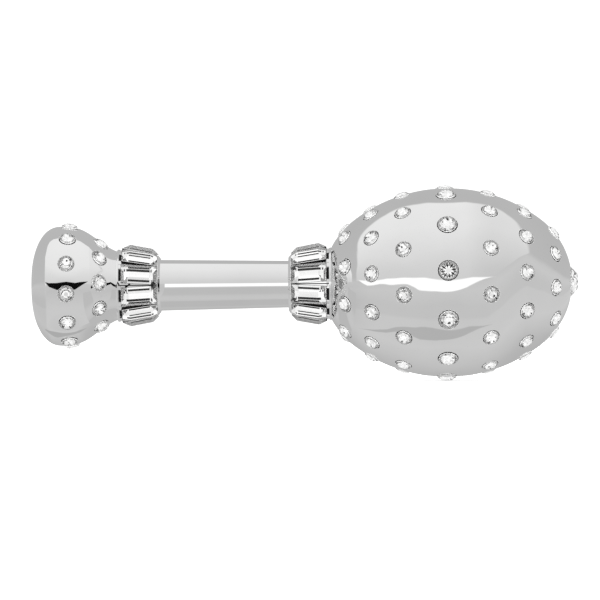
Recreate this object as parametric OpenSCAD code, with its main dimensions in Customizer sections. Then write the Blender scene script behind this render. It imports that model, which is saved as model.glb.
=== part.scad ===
// Baby rattle with crystal-set head and pommel.
// The long axis is X, with the head towards +X. Z is up and -Y is the front.
// The origin is the middle of the whole length, on the long axis.

/* [Head] */
// Half length of the oval head
head_a = 30.6; // [30:0.1:31]
// Largest radius of the head
head_b = 23.2; // [22.5:0.05:23.4]
// Radius of the arcs that round the head's two ends
head_end_r = 19.4; // [19:0.1:20]
// Wall thickness of the head and pommel shells
wall = 1.8; // [1.7:0.05:2]
// Distance of the seam between the head shells from the head's middle
seam_offset = 5.2; // [5:0.1:5.5]
// Length of the lip of the front shell inside the rear shell
lip_len = 2.9; // [2:0.1:3]

/* [Collars] */
// Length of each conical collar
collar_len = 10.6; // [10.2:0.1:11]
// Radius of the collar's thin rim at the handle
collar_rim_small = 7.3; // [7.1:0.05:7.5]
// Radius of the collar's thick rim at the head or the pommel
collar_rim_large = 8.95; // [8.7:0.05:9]
// Number of baguette stones round each collar
baguettes = 10; // [8:1:10]
// Length of a baguette
baguette_len = 8.6; // [8:0.1:8.8]
// Width of a baguette at its widest line
baguette_w = 4.7; // [4.4:0.05:4.8]
// Height of a baguette
baguette_h = 2.0; // [1.8:0.05:2.1]
// Slope of the baguettes against the long axis
baguette_tilt = 10.6; // [9:0.1:11]

/* [Handle] */
// Visible length of the handle between the collars
handle_len = 31.4; // [30:0.1:33]
// Handle radius where it leaves the pommel's collar
handle_r_pommel = 6.25; // [6.1:0.05:6.3]
// Handle radius where it enters the head's collar
handle_r_head = 5.75; // [5.7:0.05:5.9]
// Bore radius of the handle tube
tube_bore_r = 4.5; // [4:0.1:4.6]
// Length of each neck plug inside the handle tube
plug_len = 14; // [10:0.5:15]

/* [Pommel] */
// Largest radius of the pommel
pommel_r = 14.75; // [14.5:0.05:15]
// Radius that the pommel's taper runs out to, just past its collar
pommel_neck_r = 8.1; // [7.9:0.05:8.3]
// Distance from the pommel's end to its largest radius
pommel_front = 8; // [7.5:0.1:8.5]
// Radius of the flat in the middle of the pommel's end
pommel_flat_r = 5; // [4:0.1:6]
// Radius of the cap that closes the pommel's end
pommel_cap_r = 9; // [8.5:0.1:9.2]

/* [Stones] */
// Diameter of the small round stones
small_stone_d = 3.9; // [3.8:0.05:4]
// Diameter of the large round stones round the head's middle
large_stone_d = 4.7; // [4.6:0.05:4.8]
// Diameter of the stone on the end of the head
end_stone_d = 7.1; // [6.8:0.05:7.2]
// How far the stone on the end of the head stands out of the metal
end_stone_proud = 1.4; // [1.2:0.05:1.6]

/* [Rattle balls] */
// Diameter of each loose ball
ball_d = 5; // [4.8:0.1:5]
// Distance between neighbouring balls
ball_pitch = 5.2; // [5.1:0.05:5.3]
// Running clearance between a ball and the head's inner wall
ball_clearance = 0.15; // [0.1:0.05:0.3]

/* [Hidden] */
$fn = 96;
cut = 0.5;

// Places along the long axis. The whole length runs from the pommel's flat end to the table of
// the end stone.
pommel_len = 20.9;
head_cut = 28.4;
total_len = pommel_len + collar_len + handle_len + collar_len + head_cut + head_a + end_stone_proud;
pommel_x = -total_len / 2;
collar_p_large_x = pommel_x + pommel_len;
collar_p_small_x = collar_p_large_x + collar_len;
collar_h_small_x = collar_p_small_x + handle_len;
collar_h_large_x = collar_h_small_x + collar_len;
head_x = collar_h_large_x + head_cut;
seam_x = head_x + seam_offset;

// The head's outline is a four-centre oval: one belly arc between two end arcs
end_c = head_a - head_end_r;
belly_r = (end_c * end_c + head_b * head_b - head_end_r * head_end_r) / (2 * (head_b - head_end_r));
belly_c = belly_r - head_b;
arc_dist = sqrt(end_c * end_c + belly_c * belly_c);
arc_meet = end_c + head_end_r * end_c / arc_dist;

// Radius of the head at a distance u from its middle, for a shell grown inwards by t
function head_r(u, t = 0) =
    abs(u) < arc_meet - t * end_c / arc_dist
        ? sqrt(pow(belly_r - t, 2) - u * u) - belly_c
        : sqrt(pow(head_end_r - t, 2) - pow(abs(u) - end_c, 2));

// Tilt of the head's surface normal towards +X at u
function head_tilt(u) =
    abs(u) < arc_meet
        ? asin(u / belly_r)
        : sign(u) * asin((abs(u) - end_c) / head_end_r);

// Rows of stones on the head: distance from the head's middle, angle of the first stone
// above the front and number of stones
head_rows = [
    [-25.3, 17.5, 9],
    [-18.8, 7, 12],
    [-11.1, 22, 12],
    [-0.4, 7, 12],
    [10, 22, 12],
    [18.8, 7, 12],
    [26.1, -7, 9],
];
large_row = 3;

// The pommel's outline: a flat end, a superellipse up to its largest radius, then a soft taper
// to the neck
front_power = 2.8;
round_power = 1.5;
taper_power = 1.12;
taper_len = 14.7;
function pommel_r_at(s) =
    s < pommel_front
        ? pommel_flat_r + (pommel_r - pommel_flat_r)
            * pow(1 - pow((pommel_front - s) / pommel_front, front_power), 1 / round_power)
        : pommel_neck_r + (pommel_r - pommel_neck_r)
            * (1 + cos(180 * pow(min(1, (s - pommel_front) / taper_len), taper_power))) / 2;
function pommel_slope(s) = (pommel_r_at(s + 0.05) - pommel_r_at(s - 0.05)) / 0.1;
function pommel_inner_r(s) = pommel_r_at(s) - wall * sqrt(1 + pow(pommel_slope(s), 2));
pommel_steps = 40;
cap_depth = 1.6;
cap_ledge = 1;

// Rows of stones on the pommel: distance from its end, angle of the first stone, number
pommel_rows = [
    [9.3, 22, 12],
    [17, 4, 10],
];

// A round stone's proportions, as shares of its diameter
stone_h = 0.38;
girdle_at = 0.13;
girdle_h = 0.02;
back_share = 0.86;
table_share = 0.54;
// Share of a stone's height that is sunk below the metal
sunk_share = 0.52;
end_stone_sunk = end_stone_d * stone_h - end_stone_proud;

// A baguette's cross-section and table
baguette_base_w = 3.8;
baguette_table_w = 2.1;
baguette_table_len = 5.4;
baguette_girdle = 0.9;
baguette_mid = 5.1;
baguette_base_r = 7.57;
rim_small_len = 1;
rim_large_len = 0.6;
rim_small_edge = 6.55;
seat_gap = 0.1;

// Handle taper, carried on inside both collars
handle_slope = (handle_r_head - handle_r_pommel) / handle_len;
function handle_r_at(x) = handle_r_pommel + handle_slope * (x - collar_p_small_x);

// Neck plugs
back_wall = 2.2;
flange_r = 6.5;
flange_h = 1.2;

// Balls: the row is centred a little behind the head's middle
ball_mid = -2.5;
ball_count = 5;
ball_r = ball_d / 2;
function ball_u(i) = ball_mid + (i - (ball_count - 1) / 2) * ball_pitch;
// The ball touches the wall along the wall's normal, so it clears both arcs of the inner oval
function ball_lane(i) = sqrt(pow(belly_r - wall - ball_r - ball_clearance, 2) - pow(ball_u(i), 2)) - belly_c;

// Turns a shape that is drawn round Z so that its Z lies along +X
module along_x() {
    rotate([0, 90, 0]) children();
}

// Places a shape with its Z along the surface normal, at an angle above the front
module on_surface(x, r, angle, tilt) {
    rotate([90 - angle, 0, 0]) translate([x, 0, r]) rotate([0, tilt, 0]) children();
}

// Round flat-backed stone, with the metal's surface at z = 0
module round_stone(d, sunk) {
    back_r = d / 2 * back_share;
    table_r = d / 2 * table_share;
    h = d * stone_h;
    translate([0, 0, -sunk]) {
        cylinder(h = d * girdle_at, r1 = back_r, r2 = d / 2);
        translate([0, 0, d * girdle_at]) cylinder(h = d * girdle_h, r = d / 2);
        translate([0, 0, d * (girdle_at + girdle_h)])
            cylinder(h = h - d * (girdle_at + girdle_h), r1 = d / 2, r2 = table_r);
    }
}

// Pocket that a round stone sits in
module stone_pocket(d, sunk) {
    translate([0, 0, -sunk]) cylinder(h = sunk + d, r = d / 2);
}

function stone_d(row) = row == large_row ? large_stone_d : small_stone_d;
function stone_sunk(d) = d * stone_h * sunk_share;

// One row of shapes round the head
module head_row(row) {
    u = head_rows[row][0];
    count = head_rows[row][2];
    for (i = [0:count - 1])
        on_surface(head_x + u, head_r(u), head_rows[row][1] + i * 360 / count, head_tilt(u)) children();
}

// One row of shapes round the pommel
module pommel_row(row) {
    s = pommel_rows[row][0];
    count = pommel_rows[row][2];
    for (i = [0:count - 1])
        on_surface(pommel_x + s, pommel_r_at(s), pommel_rows[row][1] + i * 360 / count, -atan(pommel_slope(s)))
            children();
}

// Half outline of the head's oval, grown inwards by t, with the long axis along the outline's Y.
// The end circles lie inside the oval, so they overlap the belly.
module oval_outline(t) {
    belly_half = arc_meet - t * end_c / arc_dist;
    intersection() {
        translate([-belly_c, 0]) circle(r = belly_r - t, $fn = 200);
        translate([0, -belly_half]) square([head_b, 2 * belly_half]);
    }
    for (side = [-1, 1])
        intersection() {
            translate([0, side * end_c]) circle(r = head_end_r - t, $fn = 200);
            translate([0, side * end_c - head_end_r]) square([head_b, 2 * head_end_r]);
        }
}

module oval(t) {
    translate([head_x, 0, 0]) along_x() rotate_extrude() oval_outline(t);
}

// Everything between two places on the long axis
module slab(x0, x1) {
    translate([x0, 0, 0]) along_x() cylinder(h = x1 - x0, r = 2 * head_b);
}

module head_front_shell() {
    color("silver") difference() {
        union() {
            intersection() {
                oval(0);
                slab(seam_x, head_x + head_a + cut);
            }
            intersection() {
                oval(wall / 2);
                slab(seam_x - lip_len, seam_x + cut);
            }
        }
        oval(wall);
        for (row = [large_row + 1:len(head_rows) - 1])
            head_row(row) stone_pocket(stone_d(row), stone_sunk(stone_d(row)));
        translate([head_x + head_a, 0, 0]) along_x() stone_pocket(end_stone_d, end_stone_sunk);
    }
}

module head_rear_shell() {
    color("silver") difference() {
        intersection() {
            oval(0);
            slab(collar_h_large_x, seam_x);
        }
        intersection() {
            oval(wall);
            slab(collar_h_large_x + back_wall, seam_x + cut);
        }
        intersection() {
            oval(wall / 2);
            slab(seam_x - lip_len, seam_x + cut);
        }
        translate([collar_h_large_x - cut, 0, 0]) along_x() cylinder(h = back_wall + 2 * cut, r = tube_bore_r);
        for (row = [0:large_row])
            head_row(row) stone_pocket(stone_d(row), stone_sunk(stone_d(row)));
    }
}

module head_stones(row) {
    color("white") head_row(row) round_stone(stone_d(row), stone_sunk(stone_d(row)));
}

module head_end_stone() {
    color("white") translate([head_x + head_a, 0, 0]) along_x() round_stone(end_stone_d, end_stone_sunk);
}

// Turned plug: a flange inside the shell and a shank that fills the end of the handle tube
module neck_plug() {
    color("goldenrod") along_x() {
        translate([0, 0, back_wall]) cylinder(h = flange_h, r = flange_r);
        translate([0, 0, -plug_len]) cylinder(h = plug_len + back_wall, r = tube_bore_r);
    }
}

module head_neck_plug() {
    translate([collar_h_large_x, 0, 0]) neck_plug();
}

module pommel_neck_plug() {
    translate([collar_p_large_x, 0, 0]) mirror([1, 0, 0]) neck_plug();
}

// One baguette, with its length along X and its flat back at z = 0
module baguette() {
    intersection() {
        rotate([90, 0, 90]) translate([0, 0, -baguette_len / 2]) linear_extrude(baguette_len)
            polygon([
                [-baguette_base_w / 2, 0],
                [baguette_base_w / 2, 0],
                [baguette_w / 2, baguette_girdle],
                [baguette_table_w / 2, baguette_h],
                [-baguette_table_w / 2, baguette_h],
                [-baguette_w / 2, baguette_girdle],
            ]);
        rotate([90, 0, 0]) translate([0, 0, -baguette_w]) linear_extrude(2 * baguette_w)
            polygon([
                [-baguette_len / 2, 0],
                [baguette_len / 2, 0],
                [baguette_len / 2, baguette_girdle],
                [baguette_table_len / 2, baguette_h],
                [-baguette_table_len / 2, baguette_h],
                [-baguette_len / 2, baguette_girdle],
            ]);
    }
}

// All baguettes round a collar whose thin rim is at x = 0
module baguette_ring() {
    for (i = [0:baguettes - 1])
        on_surface(baguette_mid, baguette_base_r, (i + 0.5) * 360 / baguettes, -baguette_tilt) baguette();
}

// Collar with its thin rim at x = 0 and its thick rim at +X, over a handle cone of radii r0 and r1
module collar(r0, r1) {
    seat_slope = tan(baguette_tilt);
    seat_r0 = baguette_base_r + (rim_small_len - baguette_mid) * seat_slope + seat_gap;
    seat_r1 = baguette_base_r + (collar_len - rim_large_len - baguette_mid) * seat_slope + seat_gap;
    color("silver") difference() {
        along_x() rotate_extrude() polygon([
            [r0, 0],
            [rim_small_edge, 0],
            [collar_rim_small, rim_small_len - seat_gap],
            [collar_rim_small, rim_small_len],
            [seat_r0, rim_small_len],
            [seat_r1, collar_len - rim_large_len],
            [collar_rim_large, collar_len - rim_large_len],
            [collar_rim_large, collar_len],
            [r1, collar_len],
        ]);
        baguette_ring();
    }
}

module head_collar() {
    translate([collar_h_small_x, 0, 0]) collar(handle_r_at(collar_h_small_x), handle_r_at(collar_h_large_x));
}

module head_collar_baguettes() {
    color("white") translate([collar_h_small_x, 0, 0]) baguette_ring();
}

module pommel_collar() {
    translate([collar_p_small_x, 0, 0]) mirror([1, 0, 0])
        collar(handle_r_at(collar_p_small_x), handle_r_at(collar_p_large_x));
}

module pommel_collar_baguettes() {
    color("white") translate([collar_p_small_x, 0, 0]) mirror([1, 0, 0]) baguette_ring();
}

module handle_tube() {
    tube_len = collar_h_large_x - collar_p_large_x;
    color("silver") translate([collar_p_large_x, 0, 0]) along_x() difference() {
        cylinder(h = tube_len, r1 = handle_r_at(collar_p_large_x), r2 = handle_r_at(collar_h_large_x));
        translate([0, 0, -cut]) cylinder(h = tube_len + 2 * cut, r = tube_bore_r);
    }
}

// The pommel as one closed solid, from its end at s = 0 to its neck
module pommel_solid() {
    translate([pommel_x, 0, 0]) along_x() rotate_extrude() polygon(concat(
        [[0, 0], [pommel_flat_r, 0]],
        [
            for (i = [1:pommel_steps])
                let (s = pommel_front * (1 - cos(90 * i / pommel_steps))) [pommel_r_at(s), s]
        ],
        [
            for (i = [1:pommel_steps])
                let (s = pommel_front + (pommel_len - pommel_front) * i / pommel_steps) [pommel_r_at(s), s]
        ],
        [[0, pommel_len]]
    ));
}

module pommel_cavity() {
    s0 = cap_depth + cap_ledge;
    s1 = pommel_len - back_wall;
    translate([pommel_x, 0, 0]) along_x() rotate_extrude() polygon(concat(
        [[0, s0]],
        [for (i = [0:pommel_steps]) let (s = s0 + (s1 - s0) * i / pommel_steps) [pommel_inner_r(s), s]],
        [[0, s1]]
    ));
}

module pommel_shell() {
    color("silver") difference() {
        pommel_solid();
        pommel_cavity();
        translate([pommel_x - cut, 0, 0]) along_x() cylinder(h = cap_depth + cut, r = pommel_cap_r);
        translate([pommel_x, 0, 0]) along_x() cylinder(h = cap_depth + cap_ledge + cut, r = pommel_cap_r - cap_ledge);
        translate([pommel_x + pommel_len / 2, 0, 0]) along_x() cylinder(h = pommel_len, r = tube_bore_r);
        for (row = [0:1]) pommel_row(row) stone_pocket(small_stone_d, stone_sunk(small_stone_d));
    }
}

module pommel_end_cap() {
    color("silver") intersection() {
        pommel_solid();
        translate([pommel_x - cut, 0, 0]) along_x() cylinder(h = cap_depth + cut, r = pommel_cap_r);
    }
}

module pommel_stones(row) {
    color("white") pommel_row(row) round_stone(small_stone_d, stone_sunk(small_stone_d));
}

// Ball number i, lying at the bottom of its lane
module rattle_ball(i) {
    color("gray") translate([head_x + ball_u(i), 0, -ball_lane(i)]) sphere(r = ball_r);
}

head_front_shell();
head_rear_shell();
head_stones(0);  // head_stones_row_1
head_stones(1);  // head_stones_row_2
head_stones(2);  // head_stones_row_3
head_stones(3);  // head_stones_row_4
head_stones(4);  // head_stones_row_5
head_stones(5);  // head_stones_row_6
head_stones(6);  // head_stones_row_7
head_end_stone();
head_neck_plug();
head_collar();
head_collar_baguettes();
handle_tube();
pommel_collar();
pommel_collar_baguettes();
pommel_neck_plug();
pommel_shell();
pommel_end_cap();
pommel_stones(0);  // pommel_stones_row_1
pommel_stones(1);  // pommel_stones_row_2
rattle_ball(0);  // rattle_ball_1
rattle_ball(1);  // rattle_ball_2
rattle_ball(2);  // rattle_ball_3
rattle_ball(3);  // rattle_ball_4
rattle_ball(4);  // rattle_ball_5
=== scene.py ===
import math

import bmesh
import bpy
import numpy as np
from mathutils import Matrix, Vector


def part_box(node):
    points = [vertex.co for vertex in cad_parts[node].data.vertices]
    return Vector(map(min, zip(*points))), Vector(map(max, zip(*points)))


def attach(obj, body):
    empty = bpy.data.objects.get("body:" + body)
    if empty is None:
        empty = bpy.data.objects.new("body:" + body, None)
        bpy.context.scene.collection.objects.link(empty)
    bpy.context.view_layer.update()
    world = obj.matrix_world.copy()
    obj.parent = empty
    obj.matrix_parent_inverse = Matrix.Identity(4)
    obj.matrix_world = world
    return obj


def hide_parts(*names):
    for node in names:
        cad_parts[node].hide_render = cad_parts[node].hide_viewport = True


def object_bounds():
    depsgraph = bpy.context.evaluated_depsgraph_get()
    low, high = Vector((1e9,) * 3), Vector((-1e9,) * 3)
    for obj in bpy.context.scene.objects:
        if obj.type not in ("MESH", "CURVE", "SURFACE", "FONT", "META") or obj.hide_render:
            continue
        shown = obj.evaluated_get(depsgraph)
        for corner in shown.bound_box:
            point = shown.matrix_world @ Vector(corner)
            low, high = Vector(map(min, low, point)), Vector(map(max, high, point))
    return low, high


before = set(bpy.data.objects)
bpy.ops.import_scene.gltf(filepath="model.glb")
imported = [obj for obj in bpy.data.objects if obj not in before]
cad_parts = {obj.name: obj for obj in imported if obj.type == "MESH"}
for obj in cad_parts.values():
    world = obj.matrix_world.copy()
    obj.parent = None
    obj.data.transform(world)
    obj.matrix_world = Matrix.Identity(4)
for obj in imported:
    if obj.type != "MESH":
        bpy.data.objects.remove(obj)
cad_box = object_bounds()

# Shapes are worked out in millimetres, in the frame's axes: X along the rattle with the head
# towards +X, Z up, and -Y the front. Angles round the long axis start at the front and rise to +Z.
MM = 0.001


def edge(node, high, axis):
    """Where a CAD node starts or ends along an axis, in millimetres."""
    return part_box(node)[high][axis] / MM


# Places along the long axis, from the frame
POMMEL_END = edge("pommel_end_cap", 0, 0)
COLLAR_P_LARGE = edge("pommel_collar", 0, 0)
COLLAR_P_SMALL = edge("pommel_collar", 1, 0)
COLLAR_H_SMALL = edge("head_collar", 0, 0)
COLLAR_H_LARGE = edge("head_collar", 1, 0)
SEAM = edge("head_rear_shell", 1, 0)
TIP = edge("head_end_stone", 1, 0)
LOWEST = cad_box[0][2] / MM

# Head: a four-centre oval, one belly arc between two end arcs
HEAD_MID = SEAM - 5.2
HEAD_A = 30.6
HEAD_B = edge("head_rear_shell", 1, 2)
HEAD_END_R = 19.4
END_C = HEAD_A - HEAD_END_R
BELLY_R = (END_C ** 2 + HEAD_B ** 2 - HEAD_END_R ** 2) / (2 * (HEAD_B - HEAD_END_R))
BELLY_C = BELLY_R - HEAD_B
ARC_TILT = math.atan2(END_C, BELLY_C)
WALL = 1.8
LIP_LEN = 2.9
BACK_WALL = 2.2
TUBE_BORE_R = 4.5

# Stones on the head and the pommel
SMALL_D = 3.9
LARGE_D = 4.7
# Rows on the head: distance from the head's middle, angle of the first stone, number, diameter
HEAD_ROWS = [
    (-25.3, 17.5, 9, SMALL_D),
    (-18.8, 7, 12, SMALL_D),
    (-11.1, 22, 12, SMALL_D),
    (-0.4, 7, 12, LARGE_D),
    (10, 22, 12, SMALL_D),
    (18.8, 7, 12, SMALL_D),
    (26.1, -7, 9, SMALL_D),
]
# The first rows sit on the rear shell
REAR_ROWS = 4
# Rows on the pommel, from its end
POMMEL_ROWS = [
    (9.3, 22, 12, SMALL_D),
    (17, 4, 10, SMALL_D),
]
# Dishes that the stones sit in: radius and depth
HEAD_DISHES = {SMALL_D: (4.4, 0.06), LARGE_D: (6.0, 0.137)}
POMMEL_DISHES = [(4.4, 0.17), (3.2, 0.09)]

# Pommel: a flat end, a superellipse up to the largest radius, then a soft taper to the neck
POMMEL_R = 14.75
POMMEL_NECK_R = 8.1
POMMEL_FRONT = 8
POMMEL_FLAT_R = 5
POMMEL_CAP_R = 9
CAP_DEPTH = 1.6
FRONT_POWER = 2.8
ROUND_POWER = 1.5
TAPER_LEN = 14.7
TAPER_POWER = 1.12

# Handle cone, carried on inside both collars
HANDLE_R_POMMEL = 6.25
HANDLE_R_HEAD = 5.75
HANDLE_SLOPE = (HANDLE_R_HEAD - HANDLE_R_POMMEL) / (COLLAR_H_SMALL - COLLAR_P_SMALL)

# Round stones: heights and table as shares of the diameter, depth as a share of the height, and
# the star facets' tips as shares of the way from the table to the girdle
STONE_H = 0.38
GIRDLE_H = 0.02
TABLE_SHARE = 0.54
SUNK_SHARE = 0.52
STAR_OUT = 0.42
STAR_DOWN = 0.36
# The end stone's diameter, and how deep it sits
END_STONE_D = 7.1
END_STONE_SUNK = END_STONE_D * STONE_H - (TIP - HEAD_MID - HEAD_A)

# Seats of the round stones: a shallow dish, a rounded edge, a narrow groove painted dark as shade, and a
# pocket
SEAT_FILLET = 0.12
SEAT_MARGIN = 0.45
SEAT_POINTS = 48
NARROW_GROOVE = 0.06
WIDE_GROOVE = 0.13

# Collars and their baguettes
COLLAR_LEN = COLLAR_H_LARGE - COLLAR_H_SMALL
RIM_SMALL_R = 7.3
RIM_SMALL_EDGE = 6.55
RIM_SMALL_WALL = 0.66
RIM_LARGE_R = 8.95
RIM_LARGE_LEN = 0.6
BAGUETTES = 10
BAGUETTE_LEN = 8.6
BAGUETTE_W = 4.7
BAGUETTE_H = 2.0
BAGUETTE_BASE_W = 3.8
BAGUETTE_TABLE_W = 2.1
BAGUETTE_TABLE_LEN = 5.4
BAGUETTE_GIRDLE = 0.9
BAGUETTE_TILT = math.radians(10.6)
BAGUETTE_MID = 5.1
BAGUETTE_BASE_R = 7.57

# Where the camera stands and the point that it looks at
CAMERA_TURN = math.radians(0.86)
CAMERA_ROLL = math.radians(0.54)
CAMERA_AWAY = 794.6
CAMERA_TARGET = np.array([-1.3, 0.0, -3.94])
CAMERA_FORWARD = np.array([-math.sin(CAMERA_TURN), math.cos(CAMERA_TURN), 0.0])
CAMERA_SPOT = CAMERA_TARGET - CAMERA_FORWARD * CAMERA_AWAY

# Mesh fineness: points round the axis, and the step along the head
TURN = 320
STEP = 0.45

# Face marks: places in the material lists METALS and GLASSES
# Metal marks 1 and 3 are black and grey painted shade; glass mark 2 is a painted dark reflection
PLATED, BLACK_SHADE_PAINT, BARE, GREY_SHADE_PAINT = range(4)
GLASS, MIRRORED, DARK_REFLECTION_PAINT, GROUND = range(4)

ALONG_X = np.array([1.0, 0.0, 0.0])


# ---- mesh building

class Shape:
    """Points, faces and face marks of one mesh, in millimetres. A mark is a material's place."""

    def __init__(self):
        self.points = []
        self.normals = []
        self.count = 0
        self.faces = []
        self.marks = []

    def add(self, points, normals=None):
        """Adds points and returns their numbers. Normals are given only where a formula has them."""
        points = np.asarray(points, float).reshape(-1, 3)
        self.points.append(points)
        self.normals.append(np.zeros_like(points) if normals is None else normals)
        first = self.count
        self.count += len(points)
        return np.arange(first, self.count)

    def face(self, corners, mark=0):
        self.faces.append([int(c) for c in corners])
        self.marks.append(mark)

    def band(self, a, b, mark=0):
        """Quads between two closed rings with the same number of points."""
        following_a, following_b = np.roll(a, -1), np.roll(b, -1)
        self.faces.extend(np.stack([a, b, following_b, following_a], 1).tolist())
        self.marks.extend([mark] * len(a))

    def bands(self, rings, mark=0):
        """Bands between each ring and the next."""
        for a, b in zip(rings, rings[1:]):
            self.band(a, b, mark)

    def fan(self, ring, tip, mark=0):
        """Triangles from a closed ring to one point."""
        for a, b in zip(ring, np.roll(ring, -1)):
            self.face((a, tip, b), mark)

    def build(self, name, materials, smooth_angle=None):
        """Makes the Blender object. Without a smooth angle every face stays flat."""
        points = np.concatenate(self.points)
        normals = np.concatenate(self.normals)
        used, place = np.unique(np.concatenate(self.faces), return_inverse=True)
        ends = np.cumsum([len(face) for face in self.faces])[:-1]
        faces = [part.tolist() for part in np.split(place.ravel(), ends)]
        normals = normals[used]
        mesh = bpy.data.meshes.new(name)
        mesh.from_pydata((points[used] * MM).tolist(), [], faces)
        for material in materials:
            mesh.materials.append(material)
        mesh.polygons.foreach_set("material_index", self.marks)
        mesh.polygons.foreach_set("use_smooth", [smooth_angle is not None] * len(self.faces))
        turn_outwards(mesh)
        if smooth_angle is not None:
            mesh.set_sharp_from_angle(angle=math.radians(smooth_angle))
        if np.abs(normals).sum() > 0:
            set_known_normals(mesh, normals)
        return linked(name, mesh)


def linked(name, data):
    """A new object in the scene."""
    item = bpy.data.objects.new(name, data)
    bpy.context.scene.collection.objects.link(item)
    return item


def turn_outwards(mesh):
    """Turns every face of a closed mesh outwards."""
    work = bmesh.new()
    work.from_mesh(mesh)
    bmesh.ops.recalc_face_normals(work, faces=work.faces)
    work.to_mesh(mesh)
    work.free()


def set_known_normals(mesh, normals):
    """Gives the corners of a face their exact normals where all its points have one."""
    corner_point = np.zeros(len(mesh.loops), np.int32)
    mesh.loops.foreach_get("vertex_index", corner_point)
    starts = np.zeros(len(mesh.polygons), np.int32)
    mesh.polygons.foreach_get("loop_start", starts)
    corner_normal = normals[corner_point]
    known = np.abs(corner_normal).sum(1) > 0
    face_known = np.minimum.reduceat(known.astype(int), starts) > 0
    sizes = np.diff(np.append(starts, len(mesh.loops)))
    corner_normal[~np.repeat(face_known, sizes)] = 0
    mesh.normals_split_custom_set(corner_normal.tolist())


def unit(vectors):
    """Vectors scaled to length 1."""
    return vectors / np.linalg.norm(vectors, axis=-1, keepdims=True)


def ring_points(x, r, turn=TURN):
    """Points round the long axis at x, with radius r."""
    angle = np.arange(turn) * 2 * math.pi / turn
    return np.stack([np.full(turn, x), -r * np.cos(angle), r * np.sin(angle)], 1)


def rounded(corners, steps=5):
    """A profile whose corners (x, r, fillet, mark) are rounded. A corner's mark is for the
    stretch that follows it."""
    out = []
    for i, (x, r, fillet, mark) in enumerate(corners):
        here = np.array([x, r])
        if fillet == 0 or i in (0, len(corners) - 1):
            out.append((x, r, mark))
            continue
        before = unit(np.array(corners[i - 1][:2]) - here)
        after = unit(np.array(corners[i + 1][:2]) - here)
        half = math.acos(max(-1.0, min(1.0, float(before @ after)))) / 2
        reach = fillet / math.tan(half)
        centre = here + unit(before + after) * (fillet / math.sin(half))
        start, end = here + before * reach - centre, here + after * reach - centre
        out.append((*(centre + start + before * fillet / 2), corners[i - 1][3]))
        for k in range(steps + 1):
            swing = unit(start * math.cos(k / steps * math.pi / 2)
                         + end * math.sin(k / steps * math.pi / 2)) * fillet
            out.append((*(centre + swing), corners[i - 1][3] if k < steps else mark))
        out.append((*(centre + end + after * fillet / 2), mark))
    return out


def lathe(shape, profile, turn=TURN, closed=False):
    """Turns a profile of (x, r, mark) round the long axis. A radius of 0 becomes one point."""
    rings = []
    for x, r, _ in profile:
        rings.append(shape.add([(x, 0, 0)]) if r < 1e-6 else shape.add(ring_points(x, r, turn)))
    last = len(profile) if closed else len(profile) - 1
    for i in range(last):
        a, b, mark = rings[i], rings[(i + 1) % len(rings)], profile[i][2]
        if len(a) == 1 and len(b) > 1:
            for p, q in zip(b, np.roll(b, -1)):
                shape.face((a[0], p, q), mark)
        elif len(b) == 1 and len(a) > 1:
            shape.fan(a, b[0], mark)
        elif len(a) > 1:
            shape.band(a, b, mark)
    return rings


# ---- outlines

def head_radius(x, inward=0.0):
    """Radius of the head at x, for a wall grown inwards."""
    u = np.abs(np.asarray(x, float) - HEAD_MID)
    meet = END_C + (HEAD_END_R - inward) * math.sin(ARC_TILT)
    belly = np.sqrt(np.maximum((BELLY_R - inward) ** 2 - u ** 2, 0)) - BELLY_C
    end = np.sqrt(np.maximum((HEAD_END_R - inward) ** 2 - (u - END_C) ** 2, 0))
    return np.where(u < meet, belly, end)


def head_tilt(x):
    """Tilt of the head's normal towards +X at x."""
    u = np.asarray(x, float) - HEAD_MID
    belly = np.arcsin(np.clip(u / BELLY_R, -1, 1))
    end = np.sign(u) * np.arcsin(np.clip((np.abs(u) - END_C) / HEAD_END_R, -1, 1))
    return np.where(np.abs(u) < BELLY_R * math.sin(ARC_TILT), belly, end)


def head_station(tilt, inward=0.0):
    """(x, r) of the head where its normal leans towards +X by tilt."""
    if abs(tilt) < ARC_TILT:
        return (HEAD_MID + (BELLY_R - inward) * math.sin(tilt),
                (BELLY_R - inward) * math.cos(tilt) - BELLY_C)
    return (HEAD_MID + math.copysign(END_C, tilt) + (HEAD_END_R - inward) * math.sin(tilt),
            (HEAD_END_R - inward) * math.cos(tilt))


def head_stations(first, last):
    """Tilts from first to last, about one mesh step apart on the surface."""
    tilts = [first]
    while tilts[-1] < last:
        arc = BELLY_R if abs(tilts[-1]) < ARC_TILT else HEAD_END_R
        tilts.append(tilts[-1] + STEP / arc)
    tilts[-1] = last
    return tilts


def pommel_radius(x):
    s = np.asarray(x, float) - POMMEL_END
    front = np.clip((POMMEL_FRONT - s) / POMMEL_FRONT, 0, 1)
    nose = POMMEL_FLAT_R + (POMMEL_R - POMMEL_FLAT_R) * (1 - front ** FRONT_POWER) ** (1 / ROUND_POWER)
    along = np.clip((s - POMMEL_FRONT) / TAPER_LEN, 0, 1) ** TAPER_POWER
    taper = POMMEL_NECK_R + (POMMEL_R - POMMEL_NECK_R) * (1 + np.cos(math.pi * along)) / 2
    return np.where(s < POMMEL_FRONT, nose, taper)


def pommel_rise(r):
    """Distance from the pommel's end at which its front has radius r."""
    share = ((r - POMMEL_FLAT_R) / (POMMEL_R - POMMEL_FLAT_R)) ** ROUND_POWER
    return POMMEL_FRONT * (1 - (1 - share) ** (1 / FRONT_POWER))


def pommel_tilt(x):
    """Tilt of the pommel's normal towards +X at x."""
    half = 0.02
    ahead = np.maximum(np.asarray(x, float), POMMEL_END + half)
    return -np.arctan2(pommel_radius(ahead + half) - pommel_radius(ahead - half), 2 * half)


def handle_radius(x):
    return HANDLE_R_POMMEL + HANDLE_SLOPE * (x - COLLAR_P_SMALL)


def handle_tilt(x):
    return np.zeros_like(x) - math.atan(HANDLE_SLOPE)


# ---- seats of the round stones

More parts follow.
